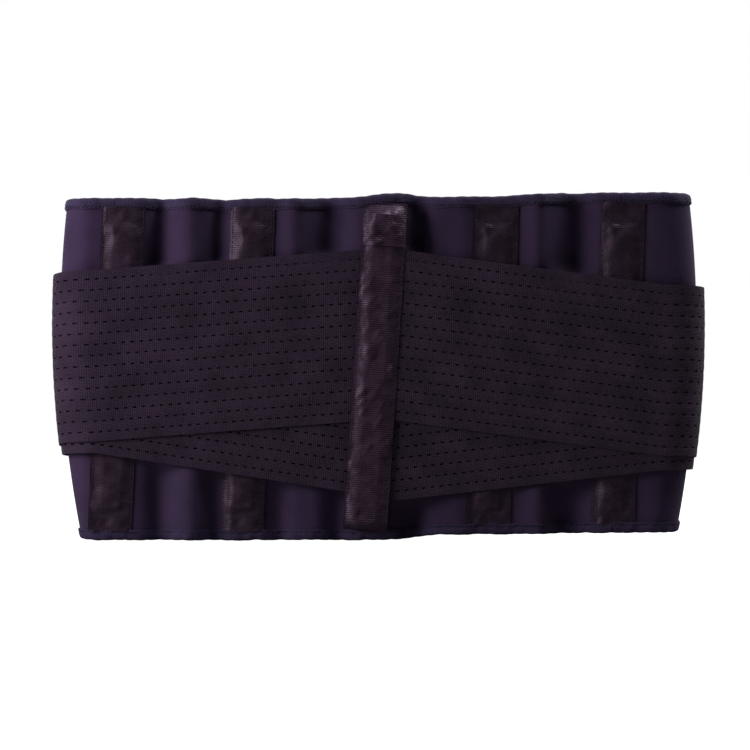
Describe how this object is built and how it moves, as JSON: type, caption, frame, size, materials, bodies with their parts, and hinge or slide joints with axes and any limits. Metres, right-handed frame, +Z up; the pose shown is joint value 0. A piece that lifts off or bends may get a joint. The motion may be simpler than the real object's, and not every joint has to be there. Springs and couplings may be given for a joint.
{
  "type": "lumbar support belt",
  "caption": "Elastic lumbar support belt fastened in a loop: padded back panel with stays in sewn tape channels and perforated side-pull straps crossing to the front.",
  "frame": {"origin": "middle of the belt's footprint on the surface that it stands on, its lower hem, when fastened", "axes": "+Z up the wearer's back; +X to the wearer's right, along the flat back panel; +Y towards the wearer's front, where the closure is"},
  "size_m": [0.453, 0.104, 0.24],
  "materials": {
    "foam_fabric": "brushed nylon knit bonded to thin foam",
    "lining_fabric": "soft brushed lining",
    "binding_tape": "folded stretch binding tape with zigzag stitching",
    "webbing_tape": "satin woven tape with fine cross ribs",
    "perforated_elastic": "perforated elastic knit",
    "spring_steel": "brushed spring steel",
    "stay_coating": "moulded coating",
    "hook_tape": "hook fastener",
    "loop_tape": "loop fastener pile",
    "pad_fabric": "doubled nylon knit"
  },
  "bodies": {
    "back": {"back_shell": "foam_fabric", "back_lining": "lining_fabric", "back_top_binding": "binding_tape", "back_bottom_binding": "binding_tape", "channel_tape_outer_left": "webbing_tape", "channel_tape_inner_left": "webbing_tape", "channel_tape_inner_right": "webbing_tape", "channel_tape_outer_right": "webbing_tape", "stay_outer_left": "stay_coating", "stay_inner_left": "stay_coating", "stay_inner_right": "stay_coating", "stay_outer_right": "stay_coating", "centre_tape": "webbing_tape", "centre_tape_head": "webbing_tape", "upper_strap_left_back": "perforated_elastic", "lower_strap_left_back": "perforated_elastic", "upper_strap_right_back": "perforated_elastic", "lower_strap_right_back": "perforated_elastic"},
    "centre_stay": {"centre_stay": "spring_steel", "centre_stay_top_cap": "stay_coating", "centre_stay_bottom_cap": "stay_coating"},
    "left_side": {"left_side_shell": "foam_fabric", "left_side_lining": "lining_fabric", "left_side_top_binding": "binding_tape", "left_side_bottom_binding": "binding_tape", "upper_strap_left_side": "perforated_elastic", "lower_strap_left_side": "perforated_elastic"},
    "left_front": {"left_front_shell": "foam_fabric", "left_front_lining": "lining_fabric", "left_front_top_binding": "binding_tape", "left_front_bottom_binding": "binding_tape", "upper_strap_left_turn": "perforated_elastic", "lower_strap_left_turn": "perforated_elastic"},
    "left_pull": {"upper_strap_left_pull": "perforated_elastic", "lower_strap_left_pull": "perforated_elastic", "left_pull_pad": "pad_fabric", "left_pull_hook": "hook_tape"},
    "closure_tab": {"closure_tab_shell": "pad_fabric", "closure_tab_binding": "binding_tape", "closure_hook_patch": "hook_tape"},
    "right_side": {"right_side_shell": "foam_fabric", "right_side_lining": "lining_fabric", "right_side_top_binding": "binding_tape", "right_side_bottom_binding": "binding_tape", "upper_strap_right_side": "perforated_elastic", "lower_strap_right_side": "perforated_elastic"},
    "right_front": {"right_front_shell": "foam_fabric", "right_front_lining": "lining_fabric", "right_front_binding": "binding_tape", "closure_loop_patch": "loop_tape", "upper_strap_right_turn": "perforated_elastic", "lower_strap_right_turn": "perforated_elastic"},
    "right_pull": {"upper_strap_right_pull": "perforated_elastic", "lower_strap_right_pull": "perforated_elastic", "right_pull_pad": "pad_fabric", "right_pull_hook": "hook_tape"}
  },
  "joints": [
    {"name": "left_side_fold", "type": "hinge", "parent": "back", "child": "left_side", "pos_m": [-0.21629, -0.04303, 0], "axis": [0, 0, 1], "range_deg": [0, 75]},
    {"name": "left_front_fold", "type": "hinge", "parent": "left_side", "child": "left_front", "pos_m": [-0.22378, -0.00927, 0], "axis": [0, 0, 1], "range_deg": [0, 75]},
    {"name": "left_pull_peel", "type": "hinge", "parent": "left_front", "child": "left_pull", "pos_m": [-0.20143, 0.00775, 0], "axis": [0, 0, 1], "range_deg": [0, 110]},
    {"name": "closure_tab_peel", "type": "hinge", "parent": "left_front", "child": "closure_tab", "pos_m": [-0.0051, 0.05226, 0], "axis": [0, 0, 1], "range_deg": [0, 110]},
    {"name": "right_side_fold", "type": "hinge", "parent": "back", "child": "right_side", "pos_m": [0.21629, -0.04303, 0], "axis": [0, 0, -1], "range_deg": [0, 75]},
    {"name": "right_front_fold", "type": "hinge", "parent": "right_side", "child": "right_front", "pos_m": [0.22378, -0.00927, 0], "axis": [0, 0, -1], "range_deg": [0, 75]},
    {"name": "right_pull_peel", "type": "hinge", "parent": "right_front", "child": "right_pull", "pos_m": [0.20143, 0.00775, 0], "axis": [0, 0, -1], "range_deg": [0, 110]},
    {"name": "centre_stay_slide", "type": "slide", "parent": "back", "child": "centre_stay", "axis": [0.0645, 0, 0.9979], "range_m": [0, 0.018]}
  ],
  "couplings": [
    {"joint": "left_front_fold", "follows": "left_side_fold", "ratio": 1},
    {"joint": "right_side_fold", "follows": "left_side_fold", "ratio": 1},
    {"joint": "right_front_fold", "follows": "left_side_fold", "ratio": 1}
  ]
}
